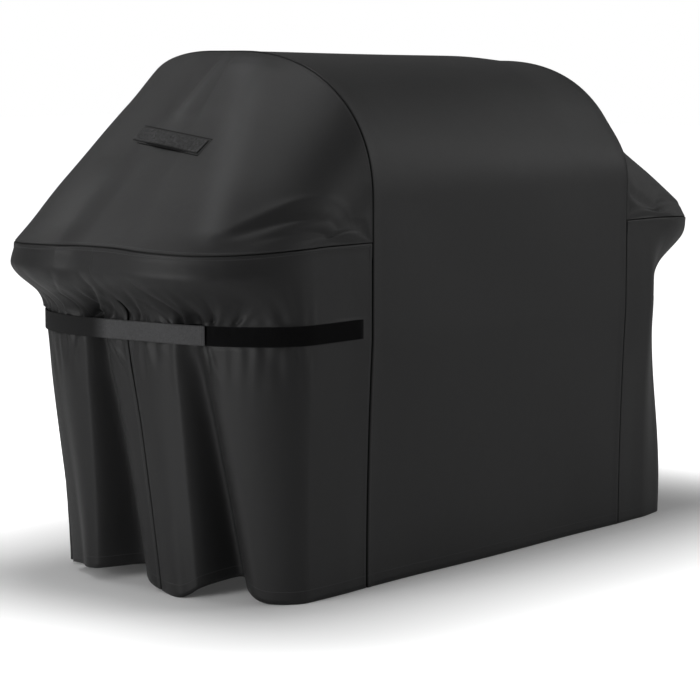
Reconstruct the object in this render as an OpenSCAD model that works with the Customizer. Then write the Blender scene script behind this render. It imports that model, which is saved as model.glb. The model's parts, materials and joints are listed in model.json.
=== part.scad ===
// Fitted cloth cover for a gas grill with two side shelves, in its worn shape.
// X runs along the cover, -Y is the front and +Z is up. The origin is the middle of the
// floor under it. Panels meet edge to edge, and the straps and handles sit just off the cloth.

/* [Cover] */
// Length over the two shelf ends
cover_len = 1738; // [1500:1:2000]
// Depth from front to back
cover_depth = 670; // [600:1:760]
// Height of the flat top
cover_h = 1049; // [960:1:1140]
// Thickness of the cloth walls
cloth_t = 3; // [2:0.5:5]

/* [Hood] */
// Width of the centre panel, from seam to seam
hood_w = 900; // [800:1:1000]
// Height where the hood's front starts to round over
hood_spring_h = 760; // [720:1:800]
// Y of the flat top's front edge
top_front_y = 5; // [-40:1:40]
// Y of the flat top's back edge
top_back_y = 85; // [60:1:120]
// Roundness of the hood's front: 2 is an ellipse, more is boxier
hood_roundness = 2.2; // [2:0.05:2.6]

/* [Shelves] */
// Height of the seam along the shelf edge
shelf_h = 681; // [640:1:720]
// Radius of the shelf corners, seen from above
shelf_corner_r = 243; // [180:1:260]
// Height of the upright band below the shelf seam
band_h = 40; // [20:1:60]
// Height over which the band draws in to the strap
gather_h = 105; // [60:1:105]
// How far the strap draws each end in
cinch = 94; // [40:1:120]
// How far each end leans in again from the strap to the hem
end_lean = 40; // [0:1:60]
// How far the front and back lean in from the strap to the hem
face_lean = 14; // [0:1:30]

/* [Webbing] */
// Width of the straps and handles
webbing_w = 38; // [25:1:50]
// Thickness of the webbing
webbing_t = 2.2; // [1.5:0.1:3]
// Height of the straps' middle line
strap_h = 515; // [500:1:530]
// Thickness of the fixing strip sewn on the cloth
loop_t = 1.6; // [1:0.1:2]
// Thickness of the hook pad under a strap's free end
hook_t = 1.2; // [0.8:0.1:1.5]
// Distance from the cover's middle to the inner end of the fixing strip
loop_end_x = 480; // [460:1:560]

/* [Handles] */
// Length of a handle over its sewn ends
handle_len = 196; // [160:1:220]
// Length of each sewn end
handle_end_len = 31; // [25:1:40]
// Height of the handle's middle line
handle_h = 875; // [840:1:920]
// Y of the handle's middle
handle_y = 10; // [-20:1:40]
// How far the handle's front end dips, in degrees
handle_tilt = 9.7; // [0:0.1:15]
// How far the loose grip stands off the cloth in its middle
grip_bow = 3.6; // [1:0.1:3.8]

/* [Hidden] */
$fn = 32;

cloth_colour = [0.13, 0.13, 0.14];
tape_colour = [0.07, 0.07, 0.075];
webbing_colour = [0.25, 0.25, 0.26];
loop_colour = [0.03, 0.03, 0.03];
hook_colour = [0.05, 0.05, 0.055];

half_len = cover_len / 2;
half_depth = cover_depth / 2;
half_hood = hood_w / 2;
corner_x = half_len - shelf_corner_r;   // where the shelf's corners begin, along X
corner_y = half_depth - shelf_corner_r; // and along Y
strap_reach = half_len - cinch;         // half the length at the strap
gather_top = shelf_h - band_h;
gather_low = gather_top - gather_h;     // the end is upright from here down past the strap
strap_low = strap_h - webbing_w / 2 - 7;
back_arc = [160, 60];                   // the top's back edge rounds over on this ellipse
back_spring_h = 720;                    // the back is upright below this height
tape_w = 18;
tape_t = 1.2;
gap = 0.3;                              // clearance between pieces that don't belong together
loop_out = gap + loop_t;                // the fixing strip's outer face, off the cloth
hook_in = loop_out + gap;
strap_in = hook_in + hook_t + gap / 2;  // the webbing's inner face
strap_out = strap_in + webbing_t;

// Places along the outline: 0-1 front, 1-2 front corner, 2-3 end, 3-4 back corner, 4-5 back
tip_at = 1.756;      // the strap's free end
tab_at = 2.12;       // where the free end folds back
anchor_at = 4.08;    // where the strap leaves its anchor
anchor_end_at = 4.4;
loop_to = 1.97;          // where both fixing strips stop, under the strap
right_loop_from = 1.45;  // the right one is short, and starts round its corner
join = 0.3;          // butt gap between a strap's rigid lengths, in millimetres each side
end_run = 2 * corner_y;
front_run = corner_x - half_hood;

function ease(x) = x * x * (3 - 2 * x);

// Half the cover's length and depth at a height
function reach(z) =
    z >= gather_top ? half_len
  : z >= gather_low ? half_len - cinch * ease((gather_top - z) / gather_h)
  : z >= strap_low ? strap_reach
  : strap_reach - end_lean * (1 - z / strap_low);
function depth(z) =
    z >= strap_low ? half_depth : half_depth - face_lean * (1 - pow(z / strap_low, 2));

// A point of the right half's outline at height z, inset from the cloth's outer face by g
function outline(t, z, g = 0) =
  let (rx = reach(z) - corner_x - g, ry = depth(z) - corner_y - g)
    t <= 1 ? [half_hood + front_run * t, -corner_y - ry]
  : t <= 2 ? [corner_x + rx * sin(90 * (t - 1)), -corner_y - ry * cos(90 * (t - 1))]
  : t <= 3 ? [corner_x + rx, corner_y * (2 * (t - 2) - 1)]
  : t <= 4 ? [corner_x + rx * cos(90 * (t - 3)), corner_y + ry * sin(90 * (t - 3))]
  : [corner_x - front_run * (t - 4), corner_y + ry];

// The hood's outline in Y and Z from the shelf height up over the top, inset by g
function arch(g = 0) = concat(
  [[-half_depth + g, shelf_h]],
  [for (a = [0 : 7.5 : 90])
    [top_front_y - (half_depth + top_front_y - g) * pow(cos(a), 2 / hood_roundness),
     hood_spring_h + (cover_h - hood_spring_h - g) * pow(sin(a), 2 / hood_roundness)]],
  [for (a = [90 : -13.6 : 7]) let (r = back_arc - [g, g])
    [top_back_y + r[0] * cos(a), cover_h - back_arc[1] + r[1] * sin(a)]],
  [[half_depth - g, back_spring_h], [half_depth - g, shelf_h]]);

// The whole centre panel's outline, hem to hem, inset by g
low_levels = [0, 100, 200, 300, 400, strap_low];
function centre_line(g) = concat(
  [for (z = low_levels) [-depth(z) + g, z]], arch(g),
  [for (i = [len(low_levels) - 1 : -1 : 0]) [depth(low_levels[i]) - g, low_levels[i]]]);

function backwards(list) = [for (i = [len(list) - 1 : -1 : 0]) list[i]];
function places(from, to, n) = [for (i = [0 : n]) from + (to - from) * i / n];

// A closed wall between two insets of the outline, over heights zs and places ts
module wall(zs, ts, outer, inner) {
  rows = len(zs) - 1;
  cols = len(ts) - 1;
  function at(i, j, k) = (i * (cols + 1) + j) * 2 + k;
  function quad(a, b, c, d) = [[a, b, c], [a, c, d]];
  points = [for (z = zs) for (t = ts) for (g = [outer, inner])
    let (p = outline(t, z, g)) [p[0], p[1], z]];
  faces = [
    for (i = [0 : rows - 1]) for (j = [0 : cols - 1]) each concat(
      quad(at(i, j, 0), at(i + 1, j, 0), at(i + 1, j + 1, 0), at(i, j + 1, 0)),
      quad(at(i, j, 1), at(i, j + 1, 1), at(i + 1, j + 1, 1), at(i + 1, j, 1))),
    for (j = [0 : cols - 1]) each concat(
      quad(at(0, j, 0), at(0, j + 1, 0), at(0, j + 1, 1), at(0, j, 1)),
      quad(at(rows, j + 1, 0), at(rows, j, 0), at(rows, j, 1), at(rows, j + 1, 1))),
    for (i = [0 : rows - 1]) each concat(
      quad(at(i + 1, 0, 0), at(i, 0, 0), at(i, 0, 1), at(i + 1, 0, 1)),
      quad(at(i, cols, 0), at(i + 1, cols, 0), at(i + 1, cols, 1), at(i, cols, 1)))];
  polyhedron(points, faces);
}

// A strip that follows the hood's outline in the band x0 to x1, between two insets
module hood_strip(x0, x1, outer, inner) {
  translate([x0, 0, 0]) rotate([90, 0, 90]) linear_extrude(height = x1 - x0)
    polygon(concat(centre_line(outer), backwards(centre_line(inner))));
}

gather_steps = 6;
skirt_levels = concat(
  [0, 160, 330, 440, strap_low, gather_low],
  [for (i = [1 : gather_steps]) gather_low + gather_h * i / gather_steps],
  [shelf_h]);
corner_steps = 12;

// Half of a skirt: from a seam beside the hood round to the middle of the end
module skirt(from, corner, to) {
  ts = concat([from], places(corner, corner + 1, corner_steps), [to]);
  color(cloth_colour) wall(skirt_levels, ts, 0, cloth_t);
}

module on_side(left) {
  if (left) mirror([1, 0, 0]) children();
  else children();
}

// The hood's end, from the arch beside the hood down to the shelf edge, one solid wedge
module end_wedge(g, past) {
  ts = concat([0], places(1, 2, 10), places(3, 4, 10), [5]);
  hull() {
    translate([half_hood - past, 0, 0]) rotate([90, 0, 90])
      linear_extrude(height = past + 0.01) polygon(arch(g));
    translate([0, 0, shelf_h - past]) linear_extrude(height = past + 0.01)
      polygon([for (t = ts) outline(t, shelf_h, g)]);
  }
}

module end_panel() {
  color(cloth_colour) difference() {
    end_wedge(0, 0);
    end_wedge(cloth_t, 5);
  }
}

module centre_panel() {
  color(cloth_colour) hood_strip(-half_hood, half_hood, 0, cloth_t);
}

tape_foot = 10; // the seam tapes stop short of the hem

// The arch's tape leaves the flat of the top clear, where the cover rests on the hood
module arch_seam_tape() {
  g = cloth_t + gap;
  color(tape_colour) difference() {
    hood_strip(half_hood - tape_w, half_hood - 0.5, g, g + tape_t);
    translate([half_hood - 2 * tape_w, -half_depth, -1])
      cube([4 * tape_w, cover_depth, tape_foot + 1]);
    translate([half_hood - 2 * tape_w, top_front_y - 2, cover_h - 20])
      cube([4 * tape_w, top_back_y - top_front_y + 4, 20]);
  }
}

module shelf_seam_tape() {
  g = cloth_t + gap;
  ts = concat([0.02], places(1, 2, corner_steps), places(3, 4, corner_steps), [4.98]);
  color(tape_colour) wall([shelf_h - tape_w - 1, shelf_h - 1], ts, g, g + tape_t);
}

module end_seam_tape() {
  g = cloth_t + gap;
  half = tape_w / 2 / end_run;
  zs = concat([tape_foot], [for (z = skirt_levels) if (z > tape_foot && z < gather_top) z],
    [shelf_h - tape_w - 2]);
  color(tape_colour) wall(zs, [2.5 - half, 2.5 + half], g, g + tape_t);
}

// A flat strip at the straps' height that follows the outline between two places
module belt(from, to, steps, inner, outer, w = webbing_w) {
  wall([strap_h - w / 2, strap_h + w / 2], places(from, to, steps), -outer, -inner);
}

module left_loop_strip() {
  color(loop_colour) union() {
    belt((loop_end_x - half_hood) / front_run, 1, 1, gap, loop_out);
    belt(1, loop_to, 24, gap, loop_out);
  }
}

module right_loop_strip() {
  color(loop_colour) belt(right_loop_from, loop_to, 12, gap, loop_out);
}

module strap() {
  color(webbing_colour) union() {
    belt(tab_at + join / end_run, 3, 1, strap_in, strap_out);
    belt(3, 4, 24, strap_in, strap_out);
    belt(4, anchor_at - join / front_run, 1, strap_in, strap_out);
  }
}

module strap_anchor() {
  color(webbing_colour) belt(anchor_at + join / front_run, anchor_end_at, 1, gap, strap_out);
}

module strap_tab() {
  color(webbing_colour) union() {
    belt(tip_at, 2, 12, strap_in, strap_out);
    belt(2, tab_at - join / end_run, 1, strap_in, strap_out);
  }
}

module hook_pad() {
  color(hook_colour) belt(1.775, 1.965, 10, hook_in, hook_in + hook_t, webbing_w - 4);
}

// The slope's own frame at the handle: x along the handle, y up the slope, z off the cloth
slope_run = half_len - half_hood;
slope_rise = cover_h - shelf_h;
slope = atan2(slope_rise, slope_run);
handle_x = half_hood + slope_run * (cover_h - handle_h) / slope_rise;
module on_slope() {
  translate([handle_x, handle_y, handle_h]) rotate([0, slope, 0])
    rotate([0, 0, 90 + handle_tilt]) children();
}

backing_t = 1;
backing_margin = 5;
handle_base = gap + backing_t;
module handle_backing() {
  color(cloth_colour) on_slope() translate([-handle_len / 2 - backing_margin,
      -webbing_w / 2 - backing_margin, gap])
    cube([handle_len + 2 * backing_margin, webbing_w + 2 * backing_margin, backing_t]);
}

module handle_ends() {
  color(webbing_colour) on_slope() for (side = [0, 1]) mirror([side, 0, 0])
    translate([handle_len / 2 - handle_end_len, -webbing_w / 2, handle_base])
      cube([handle_end_len, webbing_w, webbing_t + gap]);
}

// The grip is a shallow bow between the sewn ends
grip_half = handle_len / 2 - handle_end_len - 0.5;
grip_steps = 12;
function bow(x) = grip_bow * pow(cos(90 * x / grip_half), 2);
module handle_grip() {
  xs = places(-grip_half, grip_half, grip_steps);
  low = [for (x = xs) [x, handle_base + gap + bow(x)]];
  high = [for (x = backwards(xs)) [x, handle_base + gap + webbing_t + bow(x)]];
  color(webbing_colour) on_slope() translate([0, webbing_w / 2, 0]) rotate([90, 0, 0])
    linear_extrude(height = webbing_w) polygon(concat(low, high));
}

centre_panel();
on_side(true) end_panel();  // left_end_panel
on_side(false) end_panel();  // right_end_panel
on_side(true) skirt(0, 1, 2.5);  // left_skirt_front
on_side(false) skirt(0, 1, 2.5);  // right_skirt_front
on_side(true) skirt(2.5, 3, 5);  // left_skirt_back
on_side(false) skirt(2.5, 3, 5);  // right_skirt_back
on_side(true) arch_seam_tape();  // left_arch_seam_tape
on_side(false) arch_seam_tape();  // right_arch_seam_tape
on_side(true) shelf_seam_tape();  // left_shelf_seam_tape
on_side(false) shelf_seam_tape();  // right_shelf_seam_tape
on_side(true) end_seam_tape();  // left_end_seam_tape
on_side(false) end_seam_tape();  // right_end_seam_tape
on_side(true) left_loop_strip();
on_side(false) right_loop_strip();
on_side(true) strap_anchor();  // left_strap_anchor
on_side(false) strap_anchor();  // right_strap_anchor
on_side(true) strap();  // left_strap
on_side(false) strap();  // right_strap
on_side(true) strap_tab();  // left_strap_tab
on_side(false) strap_tab();  // right_strap_tab
on_side(true) hook_pad();  // left_hook_pad
on_side(false) hook_pad();  // right_hook_pad
on_side(true) handle_backing();  // left_handle_backing
on_side(false) handle_backing();  // right_handle_backing
on_side(true) handle_ends();  // left_handle_ends
on_side(false) handle_ends();  // right_handle_ends
on_side(true) handle_grip();  // left_handle_grip
on_side(false) handle_grip();  // right_handle_grip
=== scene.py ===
import json
import math

import bmesh
import bpy
import numpy as np
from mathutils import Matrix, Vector


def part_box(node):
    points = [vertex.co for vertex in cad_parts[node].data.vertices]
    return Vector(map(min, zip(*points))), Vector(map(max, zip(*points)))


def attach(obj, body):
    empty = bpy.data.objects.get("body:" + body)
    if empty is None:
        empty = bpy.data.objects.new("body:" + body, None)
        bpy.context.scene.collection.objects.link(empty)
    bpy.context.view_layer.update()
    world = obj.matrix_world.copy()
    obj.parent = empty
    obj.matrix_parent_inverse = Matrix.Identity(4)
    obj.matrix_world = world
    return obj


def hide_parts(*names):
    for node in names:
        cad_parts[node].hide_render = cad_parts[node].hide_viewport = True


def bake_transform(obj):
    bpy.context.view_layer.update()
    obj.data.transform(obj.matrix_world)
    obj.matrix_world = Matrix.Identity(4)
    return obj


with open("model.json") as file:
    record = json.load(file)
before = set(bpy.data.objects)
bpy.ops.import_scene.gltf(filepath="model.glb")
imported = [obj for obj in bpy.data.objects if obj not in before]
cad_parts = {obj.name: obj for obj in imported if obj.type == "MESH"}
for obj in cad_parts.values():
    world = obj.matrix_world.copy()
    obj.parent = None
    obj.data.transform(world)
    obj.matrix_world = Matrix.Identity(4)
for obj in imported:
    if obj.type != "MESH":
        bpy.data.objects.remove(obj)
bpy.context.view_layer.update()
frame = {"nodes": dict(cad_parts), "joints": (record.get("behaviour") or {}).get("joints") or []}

bl_info = {
    "name": "Grill Cover",
    "version": (1, 0, 0),
    "blender": (4, 5, 0),
    "location": "View3D > Sidebar > Grill Cover",
    "description": "Makes a fitted cloth cover with cinch straps and handles round its frame",
    "category": "Object",
}

SIDES = {"left": -1.0, "right": 1.0}
MM = 0.001
_, CENTRE_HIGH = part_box("centre_panel")
END_LOW, END_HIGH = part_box("right_end_panel")
STRAP_LOW, STRAP_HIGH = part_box("right_strap")


def joint(name):
    """A joint of the frame."""
    return next(j for j in frame["joints"] if j["name"] == name)


def hinge(name):
    """The place of a joint of the frame."""
    return Vector(joint(name)["pos_m"])


class CoverSizes(bpy.types.PropertyGroup):
    """The cover's cut, beside what the frame gives"""
    corner_radius: bpy.props.FloatProperty(
        name="Corner radius", description="Radius of the shelf corners, seen from above",
        default=0.243, unit="LENGTH")
    band_height: bpy.props.FloatProperty(
        name="Band height", description="Upright cloth below the shelf seam",
        default=0.040, unit="LENGTH")
    gather_height: bpy.props.FloatProperty(
        name="Gather height", description="Height over which the band draws in to the strap",
        default=0.105, unit="LENGTH")
    cinch: bpy.props.FloatProperty(
        name="Cinch", description="How far the strap draws each end in",
        default=0.094, unit="LENGTH")
    end_lean: bpy.props.FloatProperty(
        name="End lean", description="How far the ends lean in from the strap to the hem",
        default=0.040, unit="LENGTH")
    face_lean: bpy.props.FloatProperty(
        name="Face lean", description="How far the front and back lean in down to the hem",
        default=0.014, unit="LENGTH")
    spring_height: bpy.props.FloatProperty(
        name="Spring height", description="Height where the hood's front starts to round over",
        default=0.760, unit="LENGTH")
    top_front: bpy.props.FloatProperty(
        name="Top front", description="Y of the flat top's front edge",
        default=0.005, unit="LENGTH")
    top_back: bpy.props.FloatProperty(
        name="Top back", description="Y of the flat top's back edge",
        default=0.085, unit="LENGTH")
    roundness: bpy.props.FloatProperty(
        name="Hood roundness", description="2 is an ellipse, and more is boxier",
        default=2.2)
    handle_length: bpy.props.FloatProperty(
        name="Handle length", description="Length of a handle over its sewn ends",
        default=0.196, unit="LENGTH")
    handle_end: bpy.props.FloatProperty(
        name="Handle end", description="Length of each sewn end",
        default=0.031, unit="LENGTH")
    cloth: bpy.props.FloatProperty(
        name="Cloth thickness", description="Thickness of the coated cloth",
        default=0.0012, unit="LENGTH")
    webbing: bpy.props.FloatProperty(
        name="Webbing thickness", description="Thickness of the straps and handles",
        default=0.0020, unit="LENGTH")
    groove: bpy.props.FloatProperty(
        name="Seam groove", description="How deep the panels turn in at a seam",
        default=0.0026, unit="LENGTH")


class CoverFolds(bpy.types.PropertyGroup):
    """How the cloth hangs"""
    pleats: bpy.props.FloatProperty(
        name="Pleats", description="Depth of the skirts' folds, where 1 is as worn",
        default=1.0, min=0.0, max=1.2)
    gathers: bpy.props.FloatProperty(
        name="Gathers", description="Depth of the small folds over the straps",
        default=1.15, min=0.0, max=2.0)
    slack: bpy.props.FloatProperty(
        name="Slack", description="Height of the broad waves in the smooth cloth",
        default=0.0022, unit="LENGTH")


class CoverColours(bpy.types.PropertyGroup):
    """Colours of the cloth, webbing, fixings and thread"""
    cloth: bpy.props.FloatVectorProperty(
        name="Cloth", description="Colour of the coated polyester", subtype="COLOR",
        default=(0.0125, 0.0125, 0.0128), size=3)
    webbing: bpy.props.FloatVectorProperty(
        name="Strap webbing", description="Colour of the ribbed straps", subtype="COLOR",
        default=(0.052, 0.052, 0.0535), size=3)
    handle: bpy.props.FloatVectorProperty(
        name="Handle webbing", description="Colour of the handles", subtype="COLOR",
        default=(0.016, 0.016, 0.0165), size=3)
    pile: bpy.props.FloatVectorProperty(
        name="Loop pile", description="Colour of the fixing strips", subtype="COLOR",
        default=(0.0022, 0.0022, 0.0024), size=3)
    thread: bpy.props.FloatVectorProperty(
        name="Thread", description="Colour of the stitching", subtype="COLOR",
        default=(0.045, 0.045, 0.047), size=3)


class StudioSettings(bpy.types.PropertyGroup):
    """Strengths of the lights"""
    key: bpy.props.FloatProperty(
        name="Key light", description="Strength of the light high beside the left end",
        default=26.0)
    end: bpy.props.FloatProperty(
        name="End light", description="Strength of the low light before the left end",
        default=92.0)
    side: bpy.props.FloatProperty(
        name="Side light", description="Strength of the light beyond the right end",
        default=13.0)
    front: bpy.props.FloatProperty(
        name="Front light", description="Strength of the light at the front's right",
        default=64.0)
    top: bpy.props.FloatProperty(
        name="Top light", description="Strength of the light over the left end", default=40.0)
    back: bpy.props.FloatProperty(
        name="Back light", description="Strength of the light high behind the left end",
        default=32.0)
    room: bpy.props.FloatProperty(
        name="Room", description="Brightness of the white room", default=0.14)


def ease(x):
    """Rises smoothly from 0 to 1 as x does."""
    x = np.clip(x, 0.0, 1.0)
    return x * x * (3.0 - 2.0 * x)


class Shape:
    """The cover's outer surface, for one half. x is counted outwards from the middle."""

    def __init__(self, sizes, folds):
        self.sizes, self.folds = sizes, folds
        self.hood = CENTRE_HIGH[0]
        self.height = CENTRE_HIGH[2]
        self.shelf = END_LOW[2]
        self.half_len = END_HIGH[0]
        self.half_depth = END_HIGH[1]
        self.corner_x = self.half_len - sizes.corner_radius
        self.corner_y = self.half_depth - sizes.corner_radius
        self.strap_mid = (STRAP_LOW[2] + STRAP_HIGH[2]) / 2
        self.strap_half = (STRAP_HIGH[2] - STRAP_LOW[2]) / 2
        self.strap_foot = self.strap_mid - self.strap_half - 7 * MM
        self.strap_top = self.strap_mid + self.strap_half
        self.places = np.linspace(0, 5, 1001)
        self.run_at_strap = self.run(self.strap_mid)
        self.run_at_shelf = self.run(self.shelf)
        self.arch_line = self.make_arch()
        arch_y, arch_z = self.arch_point(self.arch_place(self.places))
        steps = np.hypot(np.diff(arch_y), np.diff(arch_z))
        self.run_at_arch = np.concatenate([[0], np.cumsum(steps)])

    def reach(self, z):
        """Half the cover's length at a height."""
        s = self.sizes
        drawn = s.cinch * ease((self.shelf - s.band_height - z) / s.gather_height)
        lean = s.end_lean * np.clip(1 - z / self.strap_foot, 0, None)
        return self.half_len - drawn - lean

    def depth(self, z):
        """Half the cover's depth at a height."""
        low = np.clip(z / self.strap_foot, 0, 1)
        return self.half_depth - self.sizes.face_lean * (1 - low ** 2)

    def outline(self, t, z, out=0.0):
        """A point at place t: 0-1 front, 1-2 front corner, 2-3 end, 3-4 back corner, 4-5 back."""
        rx = self.reach(z) - self.corner_x + out
        ry = self.depth(z) - self.corner_y + out
        front = np.clip(t - 1, 0, 1) * math.pi / 2
        back = np.clip(t - 3, 0, 1) * math.pi / 2
        straight = self.corner_x - self.hood
        x = (self.hood + straight * np.clip(t, 0, 1) + rx * np.sin(front)
             - rx * (1 - np.cos(back)) - straight * np.clip(t - 4, 0, 1))
        y = (-self.corner_y - ry * np.cos(front) + 2 * self.corner_y * np.clip(t - 2, 0, 1)
             + ry * np.sin(back))
        return x, y

    def outward(self, t, z):
        """The level direction square to the outline."""
        step = 1e-3
        x0, y0 = self.outline(np.clip(t - step, 0, 5), z)
        x1, y1 = self.outline(np.clip(t + step, 0, 5), z)
        size = np.hypot(x1 - x0, y1 - y0)
        return (y1 - y0) / size, (x0 - x1) / size

    def run(self, z):
        """Length along the outline at each of self.places."""
        x, y = self.outline(self.places, z)
        return np.concatenate([[0], np.cumsum(np.hypot(np.diff(x), np.diff(y)))])

    def at_strap(self, t):
        """The run at place t, along the outline at the strap's height."""
        return np.interp(t, self.places, self.run_at_strap)

    def place_of(self, run):
        """The place at a run along the strap's outline."""
        return np.interp(run, self.run_at_strap, self.places)

    def arch_point(self, a):
        """The hood's outline in y and z at 0-1 front rise, 1-2 front arc, 2-3 top, 3-4 back
        arc, 4-5 back slope."""
        s = self.sizes
        f = np.clip(a - 1, 0, 1) * math.pi / 2
        turn = math.radians(82)
        b = np.clip(a - 3, 0, 1) * turn
        back_y, back_z = 0.160, 0.060
        power = 2 / s.roundness
        spring, top = s.spring_height, self.height
        front_y = s.top_front - (self.half_depth + s.top_front) * np.cos(f) ** power
        front_z = spring + (top - spring) * np.sin(f) ** power
        back_arc_y = s.top_back + back_y * np.sin(b)
        back_arc_z = top - back_z * (1 - np.cos(b))
        end_y = s.top_back + back_y * math.sin(turn)
        end_z = top - back_z * (1 - math.cos(turn))
        down = np.clip(a - 4, 0, 1)
        knee, knee_z = 0.88, 0.720
        slope_y = end_y + (self.half_depth - end_y) * np.clip(down / knee, 0, 1)
        slope_z = np.where(down < knee, end_z + (knee_z - end_z) * down / knee,
                           knee_z + (self.shelf - knee_z) * (down - knee) / (1 - knee))
        top_y = s.top_front + (s.top_back - s.top_front) * np.clip(a - 2, 0, 1)
        parts = [a > 4, a > 3, a > 2, a >= 1]
        y = np.select(parts, [slope_y, back_arc_y, top_y, front_y], -self.half_depth)
        z = np.select(parts, [slope_z, back_arc_z, top, front_z],
                      self.shelf + (spring - self.shelf) * a)
        return y, z

    def arch_inward(self, a):
        """The direction into the hood, square to its outline."""
        step = 1e-3
        y0, z0 = self.arch_point(a - step)
        y1, z1 = self.arch_point(a + step)
        size = np.hypot(y1 - y0, z1 - z0) + 1e-9
        return (z1 - z0) / size, (y0 - y1) / size

    def hood_drop(self, u, a):
        """How far the hood's cloth hangs below its even outline: more towards the right end."""
        along = (u + self.hood) / (2 * self.hood)
        drop = 0.0120 * along + 0.0085 * ease((u - 0.24) / 0.2)
        return drop * ease((a - 1.05) / 0.3) * ease((4.7 - a) / 0.8)

    def make_arch(self):
        """Pairs each place of the outline with the arch place that a tightly stretched sheet joins
        it to.
        """
        arch = np.concatenate([[0], np.linspace(1, 2, 60), np.linspace(3, 4, 30), [5]])
        paired = []
        for a in arch:
            if a <= 1 or a >= 5:
                paired.append(a)
                continue
            step = 1e-3
            y0, z0 = self.arch_point(np.array([max(a - step, 1.0)]))
            y1, z1 = self.arch_point(np.array([min(a + step, 4.0)]))
            along = np.array([0, (y1 - y0)[0], (z1 - z0)[0]])
            y, z = self.arch_point(np.array([a]))
            ts = np.linspace(1, 2, 201) if a <= 2 else np.linspace(3, 4, 201)
            ox, oy = self.outline(ts, self.shelf)
            px, py = self.outline(ts + step, self.shelf)
            qx, qy = self.outline(ts - step, self.shelf)
            tx, ty = px - qx, py - qy
            vx, vy, vz = ox - self.hood, oy - y[0], self.shelf - z[0]
            twist = -along[1] * tx * vz + along[2] * (tx * vy - ty * vx)
            twist = twist / (np.hypot(tx, ty) + 1e-12)
            paired.append(float(ts[np.argmin(np.abs(twist))]))
        paired = np.maximum.accumulate(np.array(paired))
        return paired + np.arange(len(paired)) * 1e-9, arch

    def arch_place(self, t):
        """The arch place that the outline's place t is joined to."""
        return np.interp(t, self.arch_line[0], self.arch_line[1])


def wave(x, y, seed, scale):
    """A smooth wandering value, about -1 to 1, that is the same for the same place."""
    rng = np.random.default_rng(seed)
    total = np.zeros(np.broadcast(x, y).shape)
    for _ in range(7):
        angle, phase = rng.uniform(0, 2 * math.pi, 2)
        pitch = scale * rng.uniform(0.7, 1.6)
        total = total + np.sin((x * math.cos(angle) + y * math.sin(angle)) / pitch
                               * 2 * math.pi + phase)
    return total / 3.2


class Pleat:
    """A skirt fold: a hollow between two edges, which may wander from the strap to the hem."""

    def __init__(self, steep, gentle, depth, skew=1.5):
        self.steep, self.gentle, self.depth, self.skew = steep, gentle, depth, skew

    def inward(self, run, fall):
        """fall is 0 at the strap and 1 at the hem."""
        steep = self.steep[0] + (self.steep[1] - self.steep[0]) * fall
        gentle = self.gentle[0] + (self.gentle[1] - self.gentle[0]) * fall
        depth = self.depth[0] + (self.depth[1] - self.depth[0]) * fall ** 0.75
        across = np.clip((run - gentle) / (steep - gentle), 0, 1)
        return depth * (0.5 - 0.5 * np.cos(2 * math.pi * across ** self.skew))


class Crease:
    """A small fold along a path of (run, height) points. Its depth fades along the path, and
    a negative depth is a ridge."""

    def __init__(self, path, depth, width, blunt=1.0):
        self.path, self.depth, self.width, self.blunt = path, depth, width, blunt

    def inward(self, run, z):
        runs = np.array([p[0] for p in self.path])
        heights = np.array([p[1] for p in self.path])
        order = np.argsort(heights)
        low, high = heights[order[0]], heights[order[-1]]
        middle = np.interp(z, heights[order], runs[order])
        share = (z - low) / (high - low)
        if heights[0] > heights[-1]:
            share = 1 - share
        near = np.clip(share, 0, 1)
        depth = self.depth * (1 - near) ** 1.3
        depth = depth * ease((share + 0.35) / 0.35)
        width = self.width * (1 + 1.2 * near)
        across = (run - middle) / width
        hollow = np.exp(-np.abs(across) ** self.blunt * 1.4)
        stand = 0.42 * np.exp(-((across + 1.5) / 0.7) ** 2) * (self.depth > 0)
        return depth * (hollow - stand)


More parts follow.
